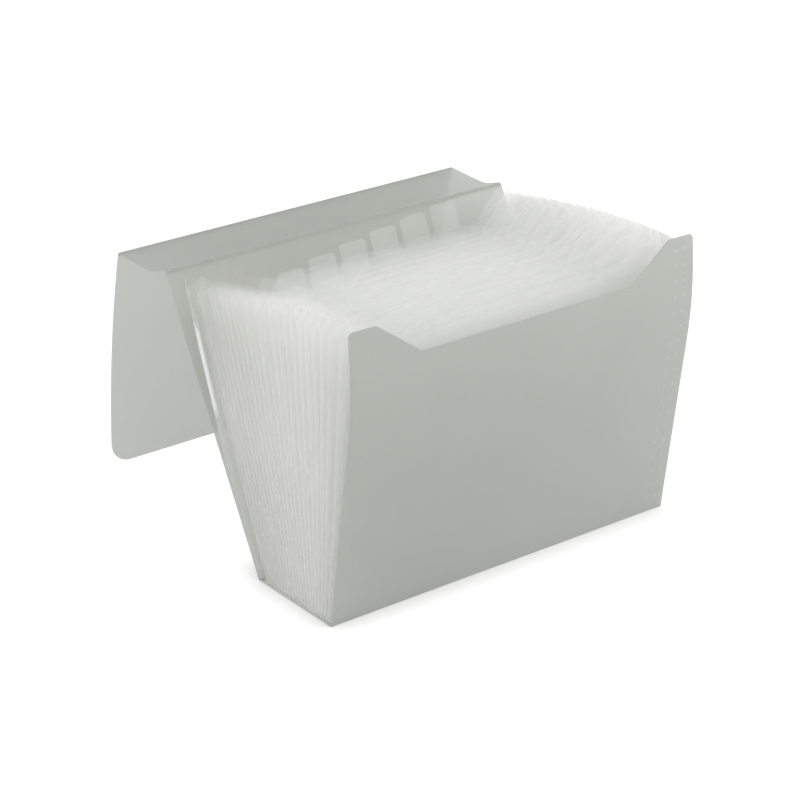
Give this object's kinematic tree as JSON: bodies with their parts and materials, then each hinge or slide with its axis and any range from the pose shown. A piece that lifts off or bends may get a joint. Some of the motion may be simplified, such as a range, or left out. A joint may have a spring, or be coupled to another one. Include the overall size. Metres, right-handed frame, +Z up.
{
  "type": "accordion file folder",
  "caption": "Free-standing expanding file: a creased translucent cover with a hanging flap around a fan of tabbed pockets with pleated sides.",
  "frame": {"origin": "middle of the underside of the base panel, on the surface the file stands on", "axes": "+X along the file's width to the right as seen from the front, +Y from the front panel towards the flap, +Z up"},
  "size_m": [0.33, 0.2949, 0.2386],
  "materials": {
    "cover": "frosted translucent gray polypropylene sheet",
    "film": "frosted whitish translucent polypropylene film"
  },
  "bodies": {
    "base": {"base_panel": "cover", "pocket_floor": "film", "left_gusset": "film", "right_gusset": "film"},
    "front": {"front_panel": "cover"},
    "back": {"back_panel": "cover"},
    "spine": {"flap_spine": "cover"},
    "flap": {"flap_panel": "cover"},
    "leaf_01": {"divider_01": "film", "index_tab_01": "film"},
    "leaf_02": {"divider_02": "film", "index_tab_02": "film"},
    "leaf_03": {"divider_03": "film", "index_tab_03": "film"},
    "leaf_04": {"divider_04": "film", "index_tab_04": "film"},
    "leaf_05": {"divider_05": "film", "index_tab_05": "film"},
    "leaf_06": {"divider_06": "film", "index_tab_06": "film"},
    "leaf_07": {"divider_07": "film", "index_tab_07": "film"},
    "leaf_08": {"divider_08": "film", "index_tab_08": "film"},
    "leaf_09": {"divider_09": "film", "index_tab_09": "film"},
    "leaf_10": {"divider_10": "film", "index_tab_10": "film"},
    "leaf_11": {"divider_11": "film", "index_tab_11": "film"},
    "leaf_12": {"divider_12": "film", "index_tab_12": "film"}
  },
  "joints": [
    {"name": "back_panel_hinge", "type": "hinge", "parent": "base", "child": "back", "pos_m": [0, 0.04275, 0.00045], "axis": [1, 0, 0], "range_deg": [0, 34.2], "deforming": ["left_gusset", "right_gusset"]},
    {"name": "front_panel_hinge", "type": "hinge", "parent": "base", "child": "front", "pos_m": [0, -0.04275, 0.00045], "axis": [1, 0, 0], "range_deg": [-5.41, 0]},
    {"name": "flap_spine_hinge", "type": "hinge", "parent": "back", "child": "spine", "pos_m": [0, 0.16513, 0.20574], "axis": [1, 0, 0], "range_deg": [0, 124]},
    {"name": "flap_hinge", "type": "hinge", "parent": "spine", "child": "flap", "pos_m": [0, 0.22607, 0.19961], "axis": [1, 0, 0], "range_deg": [0, 142]},
    {"name": "divider_01_hinge", "type": "hinge", "parent": "base", "child": "leaf_01", "pos_m": [0, -0.03617, 0.00265], "axis": [1, 0, 0], "range_deg": [-2.52, 0]},
    {"name": "divider_02_hinge", "type": "hinge", "parent": "base", "child": "leaf_02", "pos_m": [0, -0.0296, 0.00265], "axis": [1, 0, 0], "range_deg": [0, 1.06]},
    {"name": "divider_03_hinge", "type": "hinge", "parent": "base", "child": "leaf_03", "pos_m": [0, -0.02302, 0.00265], "axis": [1, 0, 0], "range_deg": [0, 4.47]},
    {"name": "divider_04_hinge", "type": "hinge", "parent": "base", "child": "leaf_04", "pos_m": [0, -0.01644, 0.00265], "axis": [1, 0, 0], "range_deg": [0, 7.74]},
    {"name": "divider_05_hinge", "type": "hinge", "parent": "base", "child": "leaf_05", "pos_m": [0, -0.00987, 0.00265], "axis": [1, 0, 0], "range_deg": [0, 10.88]},
    {"name": "divider_06_hinge", "type": "hinge", "parent": "base", "child": "leaf_06", "pos_m": [0, -0.00329, 0.00265], "axis": [1, 0, 0], "range_deg": [0, 13.87]},
    {"name": "divider_07_hinge", "type": "hinge", "parent": "base", "child": "leaf_07", "pos_m": [0, 0.00329, 0.00265], "axis": [1, 0, 0], "range_deg": [0, 16.72]},
    {"name": "divider_08_hinge", "type": "hinge", "parent": "base", "child": "leaf_08", "pos_m": [0, 0.00987, 0.00265], "axis": [1, 0, 0], "range_deg": [0, 19.43]},
    {"name": "divider_09_hinge", "type": "hinge", "parent": "base", "child": "leaf_09", "pos_m": [0, 0.01644, 0.00265], "axis": [1, 0, 0], "range_deg": [0, 22.01]},
    {"name": "divider_10_hinge", "type": "hinge", "parent": "base", "child": "leaf_10", "pos_m": [0, 0.02302, 0.00265], "axis": [1, 0, 0], "range_deg": [0, 24.44]},
    {"name": "divider_11_hinge", "type": "hinge", "parent": "base", "child": "leaf_11", "pos_m": [0, 0.0296, 0.00265], "axis": [1, 0, 0], "range_deg": [0, 26.73]},
    {"name": "divider_12_hinge", "type": "hinge", "parent": "base", "child": "leaf_12", "pos_m": [0, 0.03617, 0.00265], "axis": [1, 0, 0], "range_deg": [0, 28.89]}
  ],
  "couplings": [
    {"joint": "front_panel_hinge", "follows": "back_panel_hinge", "ratio": -0.15789},
    {"joint": "divider_01_hinge", "follows": "back_panel_hinge", "ratio": -0.073302},
    {"joint": "divider_02_hinge", "follows": "back_panel_hinge", "ratio": 0.030589},
    {"joint": "divider_03_hinge", "follows": "back_panel_hinge", "ratio": 0.13039},
    {"joint": "divider_04_hinge", "follows": "back_panel_hinge", "ratio": 0.22609},
    {"joint": "divider_05_hinge", "follows": "back_panel_hinge", "ratio": 0.3177},
    {"joint": "divider_06_hinge", "follows": "back_panel_hinge", "ratio": 0.40522},
    {"joint": "divider_07_hinge", "follows": "back_panel_hinge", "ratio": 0.48864},
    {"joint": "divider_08_hinge", "follows": "back_panel_hinge", "ratio": 0.56797},
    {"joint": "divider_09_hinge", "follows": "back_panel_hinge", "ratio": 0.64321},
    {"joint": "divider_10_hinge", "follows": "back_panel_hinge", "ratio": 0.71435},
    {"joint": "divider_11_hinge", "follows": "back_panel_hinge", "ratio": 0.7814},
    {"joint": "divider_12_hinge", "follows": "back_panel_hinge", "ratio": 0.84435}
  ]
}
